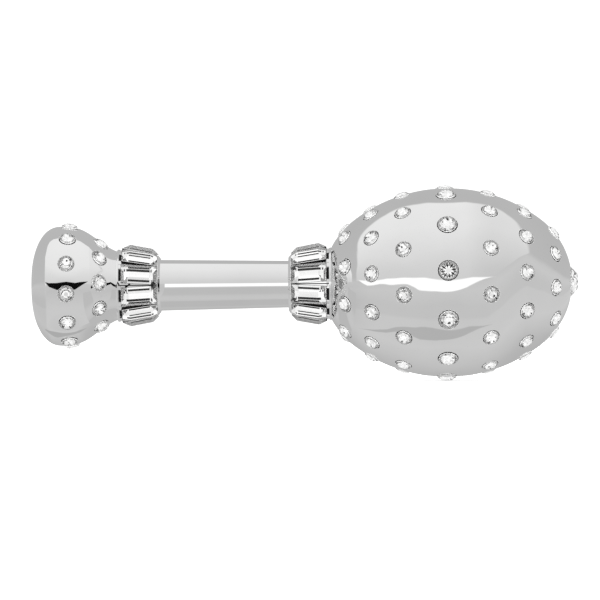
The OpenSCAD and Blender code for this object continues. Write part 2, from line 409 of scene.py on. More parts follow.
def round_axis(angle):
    """Directions away from the long axis and round it, at an angle above the front."""
    return (np.array([0.0, -math.cos(angle), math.sin(angle)]),
            np.array([0.0, math.sin(angle), math.cos(angle)]))


class Seat:
    """Place of one round stone: its centre on the metal, its normal and two directions along
    the metal."""

    def __init__(self, x, r, angle, tilt, diameter, dished=(1.0, 0.0)):
        outwards, self.across = round_axis(angle)
        self.centre = ALONG_X * x + outwards * r
        self.normal = outwards * math.cos(tilt) + ALONG_X * math.sin(tilt)
        self.along = ALONG_X * math.cos(tilt) - outwards * math.sin(tilt)
        self.diameter = diameter
        self.dish_r, self.dish_depth = dished
        # Seats seen at a slant from the front get a wider groove with black painted shade.
        self.oblique = abs(self.normal[1]) < 0.8
        self.starred = False
        self.groove = WIDE_GROOVE if diameter >= LARGE_D or self.oblique else NARROW_GROOVE


def row_seats(row, origin, radius, tilt, dished):
    """Seats of one row of stones. The first large stone on the head gets a star of back facets painted black
    as dark reflections.
    """
    offset, first, count, diameter = row
    x = origin + offset
    r, lean = float(radius(x)), float(tilt(x))
    seats = [Seat(x, r, math.radians(first + i * 360 / count), lean, diameter, dished) for i in range(count)]
    seats[0].starred = diameter == LARGE_D
    return seats


def dish(points, seats):
    """How deep the dishes round the seats are at points, and how they lean the surface."""
    depth, lean = np.zeros(len(points)), np.zeros((len(points), 3))
    for seat in seats:
        away = points - seat.centre
        share = (away ** 2).sum(1) / seat.dish_r ** 2
        near = share < 1
        depth[near] += seat.dish_depth * (1 - share[near]) ** 2
        lean[near] += away[near] * (4 * seat.dish_depth * (1 - share[near]) / seat.dish_r ** 2)[:, None]
    return depth, lean


def leaned(points, tilts):
    """Directions away from the long axis at points, leaned towards +X by tilts."""
    return unit(points * [0, 1, 1]) * np.cos(tilts)[:, None] + ALONG_X * np.sin(tilts)[:, None]


def skin_normal(points, tilt):
    """Normals of a turned surface, from its tilt along X."""
    return leaned(points, tilt(points[:, 0]))


def onto_skin(points, direction, radius, tilt):
    """Moves points along direction until they lie on a turned surface."""
    for _ in range(6):
        normal = skin_normal(points, tilt)
        gap = (np.hypot(points[:, 1], points[:, 2]) - radius(points[:, 0])) * np.cos(tilt(points[:, 0]))
        points = points - direction * (gap / (normal @ direction))[:, None]
    return points


def seat_patch(shape, seat, seats, radius, tilt):
    """The metal round one stone, from outside inwards: the dish, a rounded edge, the groove's
    wall and the pocket's floor. Returns the outer ring."""
    wall_r = seat.diameter / 2 + seat.groove
    turn = np.arange(SEAT_POINTS) * 2 * math.pi / SEAT_POINTS
    spoke = np.cos(turn)[:, None] * seat.along + np.sin(turn)[:, None] * seat.across
    stops = [(wall_r + SEAT_FILLET + SEAT_MARGIN, 0.0), (wall_r + SEAT_FILLET + SEAT_MARGIN / 2, 0.0)]
    stops += [(None, k * math.pi / 8) for k in range(5)]
    rings = []
    for rho, turned in stops:
        rho = rho or wall_r + SEAT_FILLET * (1 - math.sin(turned))
        on = onto_skin(seat.centre + spoke * rho, seat.normal, radius, tilt)
        normal = skin_normal(on, tilt)
        depth, lean = dish(on, seats)
        drop = SEAT_FILLET * (1 - math.cos(turned))
        bent = unit(normal - lean) * math.cos(turned) - spoke * math.sin(turned)
        rings.append(shape.add(on - normal * (depth + drop)[:, None], unit(bent)))
    shape.bands(rings)
    floor = -seat.diameter * STONE_H * SUNK_SHARE - 0.05
    # The groove's wall and the pocket's floor are painted shade: black on slanted seats and the starred
    # stone, grey elsewhere.
    mark = BLACK_SHADE_PAINT if seat.oblique or seat.starred else GREY_SHADE_PAINT
    foot = shape.add(seat.centre + spoke * wall_r + seat.normal * floor)
    shape.band(rings[-1], foot, mark)
    shape.fan(foot, shape.add([seat.centre + seat.normal * floor])[0], mark)
    return rings[0]


def zip_rings(shape, outer, inner, seat, points):
    """Triangles between two rings round a seat that have different numbers of points."""
    def by_angle(ring):
        away = points[ring] - seat.centre
        angle = np.arctan2(away @ seat.across, away @ seat.along)
        order = np.argsort(angle)
        return ring[order], angle[order]

    outer, outer_angle = by_angle(outer)
    inner, inner_angle = by_angle(inner)
    i = j = 0
    while i < len(outer) or j < len(inner):
        next_outer = outer_angle[i + 1] if i + 1 < len(outer) else outer_angle[0] + 2 * math.pi
        next_inner = inner_angle[j + 1] if j + 1 < len(inner) else inner_angle[0] + 2 * math.pi
        a, b = outer[i % len(outer)], inner[j % len(inner)]
        if j >= len(inner) or (i < len(outer) and next_outer <= next_inner):
            shape.face((a, b, outer[(i + 1) % len(outer)]))
            i += 1
        else:
            shape.face((a, b, inner[(j + 1) % len(inner)]))
            j += 1


def quad_corners(grid):
    """The four values at the corners of each quad of a grid that closes on itself."""
    wrap = np.roll(grid, -1, 1)
    return np.stack([grid[:-1], grid[1:], wrap[1:], wrap[:-1]], -1)


def dished_skin(shape, stations, tilts, seats, dishes, radius, tilt):
    """Outer surface through the stations (x, r), with a seat for every stone in seats and the
    dishes of all of them. Returns its first and last ring."""
    rows, turn = len(stations), TURN
    grid = np.concatenate([ring_points(x, r) for x, r in stations])
    normal = leaned(grid, np.repeat(tilts, turn))
    depth, lean = dish(grid, dishes)
    numbers = shape.add(grid - normal * depth[:, None], unit(normal - lean))
    cut = np.full(rows * turn, -1)
    for k, seat in enumerate(seats):
        hole = seat.diameter / 2 + seat.groove + SEAT_FILLET + SEAT_MARGIN + 0.4
        cut[((grid - seat.centre) ** 2).sum(1) < hole ** 2] = k
    cut = cut.reshape(rows, turn)
    numbers = numbers.reshape(rows, turn)
    corners, corner_cut = quad_corners(numbers), quad_corners(cut)
    whole = (corner_cut < 0).all(-1)
    kept = corners[whole].tolist()
    shape.faces.extend(kept)
    shape.marks.extend([PLATED] * len(kept))
    used = np.zeros(shape.count + 1, bool)
    used[np.array(kept).ravel()] = True
    patches = []
    for k, seat in enumerate(seats):
        opened = (corner_cut == k).any(-1)
        rim = np.unique(corners[opened])
        rim_cut = cut.ravel()[rim - numbers[0, 0]]
        patches.append((seat, rim[(rim_cut < 0) & used[rim]], seat_patch(shape, seat, dishes, radius, tilt)))
    points = np.concatenate(shape.points)
    for seat, rim, ring in patches:
        zip_rings(shape, rim, ring, seat, points)
    return numbers[0], numbers[-1]


# ---- materials

def new_material(name):
    material = bpy.data.materials.new(name)
    material.use_nodes = True
    return material, material.node_tree


def fill(tree, made, settings):
    """Sets a node's properties, and its inputs by name with _ for a space. A socket is linked."""
    for key, value in settings.items():
        if key in made.bl_rna.properties:
            setattr(made, key, value)
        elif isinstance(value, bpy.types.NodeSocket):
            tree.links.new(value, made.inputs[key.replace("_", " ")])
        else:
            made.inputs[key.replace("_", " ")].default_value = value
    return made


def node(tree, kind, **settings):
    return fill(tree, tree.nodes.new(kind), settings)


def surface(tree, **settings):
    """Sets the main shader of a material."""
    fill(tree, tree.nodes["Principled BSDF"], settings)


def spread(tree, value, low, high):
    """Maps a noise value from its usual 0.3..0.7 to low..high."""
    mapped = node(tree, "ShaderNodeMapRange", Value=value, From_Min=0.3, From_Max=0.7,
                  To_Min=low, To_Max=high)
    return mapped.outputs["Result"]


def noise(tree, scale, detail=3.0, stretch=(1, 1, 1)):
    """Noise in the object's own coordinates. The scale is per metre."""
    place = node(tree, "ShaderNodeTexCoord").outputs["Object"]
    scaled = node(tree, "ShaderNodeMapping", Vector=place, Scale=stretch).outputs["Vector"]
    return node(tree, "ShaderNodeTexNoise", Vector=scaled, Scale=scale, Detail=detail).outputs["Fac"]


def colour_between(tree, value, low, high, start=0.3, end=0.7):
    """A colour that follows a value from low at start to high at end."""
    made = node(tree, "ShaderNodeValToRGB", Fac=value)
    for element, place, colour in zip(made.color_ramp.elements, (start, end), (low, high)):
        element.position = place
        element.color = (*colour, 1)
    return made.outputs["Color"]


def grey_between(tree, value, low, high):
    """A faintly warm grey that follows a noise value."""
    return colour_between(tree, value, (low, low, low * 0.998), (high, high, high * 0.998))


def bump(tree, height, strength, distance):
    """A bumped normal. The distance is in metres."""
    made = node(tree, "ShaderNodeBump", Height=height, Strength=strength, Distance=distance)
    return made.outputs["Normal"]


def polished_silver(name, low=0.935, high=0.965, rough=0.02):
    """Bright plated metal with a faint haze, a slow change of roughness and hairline polish marks."""
    material, tree = new_material(name)
    surface(tree, Metallic=1.0, Base_Color=grey_between(tree, noise(tree, 90), low, high),
            Roughness=spread(tree, noise(tree, 55, 4.0), rough, rough + 0.03),
            Normal=bump(tree, noise(tree, 1800, 2.0, (0.12, 1, 1)), 0.05, 0.00001))
    return material


def painted_shade_metal(name, low=0.006, high=0.02):
    """Dark metal, painted shade for grooves, seats and gaps between parts; its tones are given."""
    material, tree = new_material(name)
    surface(tree, Metallic=0.6, Base_Color=grey_between(tree, noise(tree, 1500), low, high),
            Roughness=spread(tree, noise(tree, 900), 0.5, 0.75), Specular_IOR_Level=0.2)
    return material


def crystal(name):
    """Clear cut glass."""
    material, tree = new_material(name)
    surface(tree, Transmission_Weight=1.0, IOR=1.56, Roughness=0.0,
            Base_Color=grey_between(tree, noise(tree, 700), 0.985, 1.0))
    return material


def foil(name):
    """Mirror foil on a stone's back."""
    material, tree = new_material(name)
    surface(tree, Metallic=1.0, Base_Color=grey_between(tree, noise(tree, 800), 0.95, 0.99), Roughness=0.03)
    return material


def frosted(name):
    """Ground, milky sides of a stone below its girdle."""
    material, tree = new_material(name)
    surface(tree, Base_Color=grey_between(tree, noise(tree, 900), 0.9, 0.96), Roughness=0.6,
            Specular_IOR_Level=0.2)
    return material


def painted_dark_reflection(name, tone):
    """Black facet on a stone's back, a painted dark reflection."""
    material, tree = new_material(name)
    surface(tree, Base_Color=grey_between(tree, noise(tree, 1200), tone * 0.7, tone * 1.3), Roughness=0.3,
            Specular_IOR_Level=0.0)
    return material


def turned_brass(name):
    """Turned brass with fine lathe rings."""
    material, tree = new_material(name)
    brass = colour_between(tree, noise(tree, 260), (0.55, 0.36, 0.12), (0.78, 0.56, 0.24), 0, 1)
    surface(tree, Metallic=1.0, Base_Color=brass, Roughness=spread(tree, noise(tree, 500), 0.22, 0.4),
            Normal=bump(tree, noise(tree, 300, 2.0, (20, 1, 1)), 0.3, 0.00003))
    return material


def ball_steel(name):
    """Tumbled steel with small dents and scratches."""
    material, tree = new_material(name)
    surface(tree, Metallic=1.0, Base_Color=grey_between(tree, noise(tree, 600), 0.45, 0.62),
            Roughness=spread(tree, noise(tree, 1200), 0.15, 0.35),
            Normal=bump(tree, noise(tree, 1500, 2.0), 0.2, 0.00003))
    return material


METALS = [
    polished_silver("polished_silver"),
    # Black painted shade for grooves, seats and gaps
    painted_shade_metal("black_painted_shade_silver"),
    polished_silver("bare_inner_metal", 0.5, 0.62, 0.3),
    # Grey painted shade for the grooves of front-facing stones and the end stone's seat
    painted_shade_metal("grey_painted_shade_silver", 0.3, 0.45),
]
GLASSES = [
    crystal("cut_crystal"),
    foil("crystal_foil"),
    # Painted dark reflection on the stones' backs
    painted_dark_reflection("crystal_painted_dark_reflection", 0.012),
    frosted("frosted_crystal"),
]
BRASS = turned_brass("turned_brass")
STEEL = ball_steel("ball_steel")


def finished(shape, name, materials, nodes, smooth_angle=None):
    """Builds a piece that stands for CAD nodes and rides on the rattle."""
    piece = shape.build(name, materials, smooth_angle)
    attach(piece, "rattle")
    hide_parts(*nodes)
    return piece


def plated(shape, cad_node, smooth_angle, materials=METALS):
    """Builds a silver piece that stands for one CAD node."""
    return finished(shape, cad_node + "_plated", materials, [cad_node], smooth_angle)


def unmirrored(piece):
    """Keeps a piece out of the reflections in its neighbours, which stay clean."""
    piece.visible_glossy = False
    return piece


# ---- head and pommel shells

def head_seats():
    """Seats of the head's rows. The large stones sit in wide dishes and the small ones in faint ones."""
    return [row_seats(row, HEAD_MID, head_radius, head_tilt, HEAD_DISHES[row[3]]) for row in HEAD_ROWS]


def joined(rows):
    """All seats of several rows."""
    return [seat for row in rows for seat in row]


def head_skin(shape, tilts, own_rows, rows):
    """Outside of one head shell. The dishes of the other shell's rows reach into it."""
    stations = [head_station(t) for t in tilts]
    return dished_skin(shape, stations, tilts, joined(own_rows), joined(rows), head_radius, head_tilt)


def head_inside(end_x, count):
    """Inner profile of a head shell: the step of the lip at the seam, then the wall as far as end_x."""
    steps = [(x, WALL / 2) for x in (SEAM, SEAM - LIP_LEN)]
    steps += [(x, WALL) for x in np.linspace(SEAM - LIP_LEN, end_x, count)]
    return [(x, float(head_radius(x, inward))) for x, inward in steps]


def close_back(shape, first, last, profile):
    """Closes a shell: from its last outer ring along the profile to its first outer ring."""
    shape.bands([last] + [shape.add(ring_points(x, r)) for x, r in profile] + [first], BARE)


def head_rear_shell(rows):
    """The larger head shell, from the neck to the seam, with its inner wall and socket."""
    shape = Shape()
    tilts = head_stations(float(head_tilt(COLLAR_H_LARGE)), float(head_tilt(SEAM)))
    start, end = head_skin(shape, tilts, rows[:REAR_ROWS], rows)
    back_x = COLLAR_H_LARGE + BACK_WALL
    back = [(back_x, TUBE_BORE_R), (COLLAR_H_LARGE, TUBE_BORE_R)]
    close_back(shape, start, end, head_inside(back_x, 40) + back)
    return plated(shape, "head_rear_shell", 35)


def end_stone_seat(shape, rim, rim_x, rim_r):
    """Rounded edge, wall and floor of the end stone's seat, inside the skin's last ring."""
    rings = [rim]
    for k in range(1, 5):
        turned = k * math.pi / 8
        rings.append(shape.add(ring_points(rim_x - SEAT_FILLET * (1 - math.cos(turned)),
                                           rim_r + SEAT_FILLET * (1 - math.sin(turned)))))
    shape.bands(rings)
    floor_x = HEAD_MID + HEAD_A - END_STONE_SUNK - 0.05
    foot = shape.add(ring_points(floor_x, rim_r))
    # The seat's wall and floor are painted grey as shade.
    shape.band(rings[-1], foot, GREY_SHADE_PAINT)
    shape.fan(foot, shape.add([(floor_x, 0, 0)])[0], GREY_SHADE_PAINT)


def head_front_shell(rows):
    """The smaller head shell, from the seam to the seat of the end stone, with its lip."""
    shape = Shape()
    rim_r = END_STONE_D / 2 + 0.2
    tilts = head_stations(float(head_tilt(SEAM)), math.acos((rim_r + SEAT_FILLET) / HEAD_END_R))
    start, end = head_skin(shape, tilts, rows[REAR_ROWS:], rows)
    end_stone_seat(shape, end, head_station(tilts[-1])[0], rim_r)
    inside = head_inside(HEAD_MID + END_C + (HEAD_END_R - WALL) * 0.995, 50)
    rings = [start] + [shape.add(ring_points(x, r)) for x, r in inside]
    for a, b in zip(rings, rings[1:]):
        shape.band(b, a, BARE)
    tip = shape.add([(inside[-1][0] + 0.05, 0, 0)])[0]
    for a, b in zip(rings[-1], np.roll(rings[-1], -1)):
        shape.face((b, tip, a), BARE)
    return plated(shape, "head_front_shell", 35)


def pommel_shell(rows):
    """The pommel's shell, from the edge of its end cap to the neck."""
    shape = Shape()
    s_cap = float(pommel_rise(POMMEL_CAP_R))
    nose = [s_cap + (POMMEL_FRONT - s_cap) * (1 - math.cos(k / 30 * math.pi / 2)) for k in range(30)]
    taper = np.linspace(POMMEL_FRONT, COLLAR_P_LARGE - POMMEL_END, 34)
    xs = POMMEL_END + np.array(nose + list(taper))
    stations = [(x, float(pommel_radius(x))) for x in xs]
    tilts = [float(pommel_tilt(x)) for x in xs]
    seats = joined(rows)
    start, end = dished_skin(shape, stations, tilts, seats, seats, pommel_radius, pommel_tilt)
    neck_in, ledge_x = COLLAR_P_LARGE - BACK_WALL, POMMEL_END + CAP_DEPTH
    inner_x = np.linspace(neck_in, ledge_x + 1, 40)
    slope = np.tan(pommel_tilt(inner_x))
    inner = list(zip(inner_x, pommel_radius(inner_x) - WALL * np.sqrt(1 + slope ** 2)))
    socket = [(COLLAR_P_LARGE, TUBE_BORE_R), (neck_in, TUBE_BORE_R)]
    ledge = [(ledge_x + 1, POMMEL_CAP_R - 1), (ledge_x, POMMEL_CAP_R - 1), (ledge_x, POMMEL_CAP_R)]
    close_back(shape, start, end, socket + inner + ledge)
    return unmirrored(plated(shape, "pommel_shell", 35))


def pommel_cap():
    """The cap that closes the pommel's end, with a hairline seam round it."""
    shape = Shape()
    seam = 0.04
    rim_r, back = POMMEL_CAP_R - seam, POMMEL_END + CAP_DEPTH
    radii = np.linspace(POMMEL_FLAT_R, rim_r, 24)[1:]
    outer = [(POMMEL_END + float(pommel_rise(r)), float(r), PLATED) for r in radii][::-1]
    flat = [(POMMEL_END, POMMEL_FLAT_R * share, PLATED) for share in (1, 0.7, 0.3, 0)]
    # The seam's wall is painted black as shade.
    profile = [(back, 0, BARE), (back, POMMEL_CAP_R - 1, BARE), (back, rim_r, BLACK_SHADE_PAINT)]
    profile += [(outer[0][0] + seam, rim_r, PLATED)] + outer + flat
    lathe(shape, profile[::-1])
    return plated(shape, "pommel_end_cap", 30, METALS[:3])


# ---- handle and collars

def handle_tube():
    """Tapered tube, with its ends inside the collars."""
    shape = Shape()
    start, end = COLLAR_P_LARGE, COLLAR_H_LARGE
    profile = [(x, handle_radius(x), PLATED) for x in np.linspace(start, end, 60)[:-1]]
    profile += [(end, handle_radius(end), BARE), (end, TUBE_BORE_R, BARE), (start, TUBE_BORE_R, BARE)]
    lathe(shape, profile, closed=True)
    return unmirrored(plated(shape, "handle_tube", 35, METALS[:3]))


def base_radius(x):
    """Distance of the baguettes' flat backs from the long axis, at x from a collar's thin end."""
    return BAGUETTE_BASE_R + (x - BAGUETTE_MID) * math.tan(BAGUETTE_TILT)


def collar_start(side):
    """Thin end of a collar. side is +1 for the head's, which widens towards +X, and -1 for the
    pommel's."""
    return COLLAR_H_SMALL if side > 0 else COLLAR_P_SMALL


def collar(side, cad_node):
    """Conical collar: a thin rim, a seat for the baguettes painted black as shade, a thick rim and the bars.
    """
    origin = collar_start(side)
    seat_end = COLLAR_LEN - RIM_LARGE_LEN
    corners = [
        (0, handle_radius(origin), 0, PLATED),
        (0, RIM_SMALL_EDGE, 0.08, PLATED),
        (RIM_SMALL_WALL - 0.1, RIM_SMALL_R, 0.1, PLATED),
        # The seat between the rims is painted black as shade.
        (RIM_SMALL_WALL, RIM_SMALL_R - 0.1, 0, BLACK_SHADE_PAINT),
        (RIM_SMALL_WALL, base_radius(RIM_SMALL_WALL) - 0.05, 0, BLACK_SHADE_PAINT),
        (seat_end, base_radius(seat_end) - 0.05, 0, BLACK_SHADE_PAINT),
        (seat_end, RIM_LARGE_R - 0.12, 0, PLATED),
        (COLLAR_LEN - RIM_LARGE_LEN / 2, RIM_LARGE_R, 0.12, PLATED),
        (COLLAR_LEN, RIM_LARGE_R - 0.1, 0.06, PLATED),
        (COLLAR_LEN, handle_radius(origin + side * COLLAR_LEN), 0, BARE),
    ]
    shape = Shape()
    profile = [(origin + side * x, r, mark) for x, r, mark in rounded(corners)]
    lathe(shape, profile if side > 0 else profile[::-1], closed=True)
    for i in range(BAGUETTES):
        for hand in (-1, 1):
            collar_bar(shape, origin, side, i * 2 * math.pi / BAGUETTES, hand)
    return unmirrored(plated(shape, cad_node, 30, METALS[:3]))


def collar_bar(shape, origin, side, angle, hand):
    """Metal bar that holds the edge of one baguette, and the wall beside the stone, painted black as shade.
    Two bars, with a dark slit between, lie between neighbouring stones. They widen past the stones."""
    slit, play, under, liner, foot = 0.12, 0.03, 0.5, 0.06, 1.1
    outwards, across = round_axis(angle)
    across = across * hand
    stone_end = BAGUETTE_MID + BAGUETTE_LEN / 2 * math.cos(BAGUETTE_TILT) + 0.05

    def levels(x):
        """Bottom of a bar, height of the stones' edges over it, and half the gap between them."""
        girdle = base_radius(x) + BAGUETTE_GIRDLE
        far = math.hypot(girdle, BAGUETTE_W / 2)
        half = far * math.sin(math.pi / BAGUETTES - math.atan2(BAGUETTE_W / 2, girdle)) - play
        return base_radius(x) - 0.15, far, half

    def ring(x, near, wide, low, top):
        corners = [(near, low), (near, top), (wide, top), (wide, low)]
        return shape.add([
            np.array([origin + side * x, 0, 0]) + across * w + outwards * (h - w * w / (2 * h))
            for w, h in corners])

    bars, walls = [], []
    bar_end = COLLAR_LEN - RIM_LARGE_LEN + 0.02
    for x, wide in ((2.2, 0), (stone_end, 0), (stone_end + 0.02, foot), (bar_end, foot)):
        low, far, half = levels(x)
        bars.append(ring(x, slit, wide or half - liner, low, min(far - under, RIM_LARGE_R - 0.15)))
    for x in (1.0, stone_end):
        low, far, half = levels(x)
        walls.append(ring(x, half - liner, half, low, far - 0.1))
    # The walls beside the stones are painted black as shade.
    for cuts, mark in ((bars, PLATED), (walls, BLACK_SHADE_PAINT)):
        shape.face(cuts[0], mark)
        shape.face(cuts[-1], mark)
        shape.bands(cuts, mark)


def rectangle(length, width, height):
    """Corners of a rectangle centred on the stone, with its length along X."""
    return [(sx * length / 2, sy * width / 2, height) for sx, sy in ((-1, -1), (1, -1), (1, 1), (-1, 1))]


def baguette(shape, place):
    """Step-cut stone: girdle, step and table over a flat foiled back, on which narrow strips are
    painted black as dark reflections. place moves points from the stone's own axes to its seat."""
    belt, step_len, step_w, step_h = 0.15, 0.9, 0.8, 0.28
    levels = [
        rectangle(BAGUETTE_LEN, BAGUETTE_W, BAGUETTE_GIRDLE - belt),
        rectangle(BAGUETTE_LEN, BAGUETTE_W, BAGUETTE_GIRDLE),
        rectangle(BAGUETTE_TABLE_LEN + step_len, BAGUETTE_TABLE_W + step_w, BAGUETTE_H - step_h),
        rectangle(BAGUETTE_TABLE_LEN, BAGUETTE_TABLE_W, BAGUETTE_H),
    ]
    rings = [shape.add(place(np.array(points))) for points in levels]
    shape.bands(rings, GLASS)
    shape.face(rings[-1], GLASS)
    end, side = BAGUETTE_LEN / 2, BAGUETTE_BASE_W / 2
    lines_x = (-end, -4.0, -3.65, -2.65, 2.65, 3.0, 3.35, end)
    lines_y = (-side, -1.34, -0.74, 0.74, 1.34, side)
    # Back facets painted black as dark reflections
    painted_dark_facets = ((3, 1), (3, 3), (5, 3))
    grid = shape.add(place(np.array([(x, y, 0.0) for x in lines_x for y in lines_y])))
    grid = grid.reshape(len(lines_x), len(lines_y))
    for i in range(len(lines_x) - 1):
        for j in range(len(lines_y) - 1):
            shape.face((grid[i, j], grid[i + 1, j], grid[i + 1, j + 1], grid[i, j + 1]),
                       DARK_REFLECTION_PAINT if (i, j) in painted_dark_facets else MIRRORED)
    edges = (grid[:, 0], grid[-1, :], grid[::-1, -1], grid[0, ::-1])
    for k, back_edge in enumerate(edges):
        shape.face((*back_edge, rings[0][(k + 1) % 4], rings[0][k]), GROUND)


def baguettes(side, name, nodes):
    """All baguettes round one collar."""
    shape = Shape()
    for i in range(BAGUETTES):
        seat = Seat(BAGUETTE_MID, BAGUETTE_BASE_R, (i + 0.5) * 2 * math.pi / BAGUETTES, -BAGUETTE_TILT, 0)

        def place(points, seat=seat):
            out = (seat.centre + points[:, :1] * seat.along + points[:, 1:2] * seat.across
                   + points[:, 2:] * seat.normal)
            return out * [side, 1, 1] + [collar_start(side), 0, 0]

        baguette(shape, place)
    return finished(shape, name, GLASSES, nodes)


# ---- round stones

def stone_ring(shape, seat, twist, count, r, z, turned):
    """Ring of points round a stone's middle. turned is in steps of the ring."""
    angle = twist + (np.arange(count) + turned) * 2 * math.pi / count
    local = np.stack([r * np.cos(angle), r * np.sin(angle)], 1)
    return shape.add(seat.centre + local[:, :1] * seat.along + local[:, 1:] * seat.across + seat.normal * z)


def brilliant(shape, seat, sunk, twist, dark, rise):
    """Round stone: table, star, kite and girdle facets of glass over a foiled, faceted back. dark
    are the places, from 0 to 15, of the back's facets that are painted black as dark reflections.
    rise is the girdle's height over the metal."""
    girdle_r = seat.diameter / 2
    table_r = girdle_r * TABLE_SHARE
    top = seat.diameter * STONE_H - sunk
    girdle_top = rise + seat.diameter * GIRDLE_H

    def ring(*where):
        return stone_ring(shape, seat, twist, *where)

    table = ring(8, table_r, top, 0)
    star = ring(8, table_r + (girdle_r - table_r) * STAR_OUT, top - (top - girdle_top) * STAR_DOWN, 0.5)
    upper = ring(16, girdle_r, girdle_top, 0)
    lower = ring(16, girdle_r, rise, 0)
    shape.face(table, GLASS)
    for k in range(8):
        following, before = (k + 1) % 8, (k - 1) % 8
        for corners in ((table[k], star[k], table[following]),
                        (table[k], star[before], upper[2 * k], star[k]),
                        (star[k], upper[2 * k], upper[2 * k + 1]),
                        (star[k], upper[2 * k + 1], upper[2 * following])):
            shape.face(corners, GLASS)
    shape.band(upper, lower, GLASS)
    back_r = girdle_r - 0.03
    under = ring(16, back_r, rise - 0.22, 0)
    rim = ring(16, back_r * 0.93, rise - 0.26, 0)
    outer = ring(16, back_r * 0.76, -sunk * 0.55, 0.5)
    inner = ring(16, back_r * 0.5, -sunk * 0.85, 0)
    middle = ring(8, back_r * 0.28, -sunk, 0.25)
    starred = len(dark) == 16
    shape.bands((lower, under, rim), GROUND)
    # Back facets in the dark places, and a full ring on the starred stone, are painted black as dark
    # reflections.
    for k in range(16):
        following = (k + 1) % 16
        shape.face((rim[k], outer[k], rim[following]), GROUND)
        shape.face((rim[following], outer[k], outer[following]), MIRRORED)
        shape.face((outer[k], inner[k], inner[following]), DARK_REFLECTION_PAINT if starred else MIRRORED)
        shape.face((outer[k], inner[following], outer[following]),
                   DARK_REFLECTION_PAINT if k in dark and not starred else MIRRORED)
    for k in range(8):
        following = (k + 1) % 8
        a, b, c = inner[2 * k], inner[2 * k + 1], inner[2 * following]
        shape.face((a, middle[k], b), DARK_REFLECTION_PAINT if 2 * k in dark else MIRRORED)
        shape.face((b, middle[k], middle[following]), MIRRORED)
        shape.face((b, middle[following], c), MIRRORED)
    shape.face(middle[::-1], MIRRORED)


def painted_dark_places(number, k, starred):
    """Which facets of a stone's back are painted black as dark reflections: a full star on the first
    large stone, and a few on every other."""
    if starred:
        return set(range(16))
    return {(5 * number + 3 * k) % 16, (5 * number + 3 * k + 6) % 16, (11 * k + 2 * number + 1) % 16}


def stone_row(number, seats, name, nodes, sunk=None, rise=0.05):
    """One row of round stones as one piece. number sets which facets are painted black as dark reflections.
    """
    shape = Shape()
    for k, seat in enumerate(seats):
        depth = seat.diameter * STONE_H * SUNK_SHARE if sunk is None else sunk
        brilliant(shape, seat, depth, k * 2.4, painted_dark_places(number, k, seat.starred), rise)
    return finished(shape, name, GLASSES, nodes)


# ---- the object

head_rows = head_seats()
pommel_rows = [row_seats(row, POMMEL_END, pommel_radius, pommel_tilt, dished)
               for row, dished in zip(POMMEL_ROWS, POMMEL_DISHES)]
head_rear_shell(head_rows)
head_front_shell(head_rows)
pommel_shell(pommel_rows)
pommel_cap()
handle_tube()
collar(1, "head_collar")
collar(-1, "pommel_collar")
baguettes(1, "head_collar_crystals", ["head_collar_baguettes"])
baguettes(-1, "pommel_collar_crystals", ["pommel_collar_baguettes"])
for part_name, rows, before in (("head", head_rows, 0), ("pommel", pommel_rows, len(head_rows))):
    for number, seats in enumerate(rows, 1):
        stone_row(before + number, seats, f"{part_name}_crystals_row_{number}",
                  [f"{part_name}_stones_row_{number}"])
tip_seat = Seat(HEAD_MID + HEAD_A, 0, 0, math.pi / 2, END_STONE_D)
stone_row(0, [tip_seat], "head_end_crystal", ["head_end_stone"], END_STONE_SUNK, -0.3)

for name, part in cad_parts.items():
    if name.startswith("rattle_ball") or name.endswith("neck_plug"):
        part.data.materials.clear()
        part.data.materials.append(BRASS if name.endswith("neck_plug") else STEEL)
        unmirrored(part)


# ---- stage, light and camera

# Share of the light that polished silver gives back
SILVER_SHARE = 0.95


def grey(tone):
    """Linear value of a display grey from 0 to 255."""
    return ((tone / 255 + 0.055) / 1.055) ** 2.4


def mirrored_grey(tone):
    """Linear value that shows as a display grey in the silver."""
    return grey(tone) / SILVER_SHARE


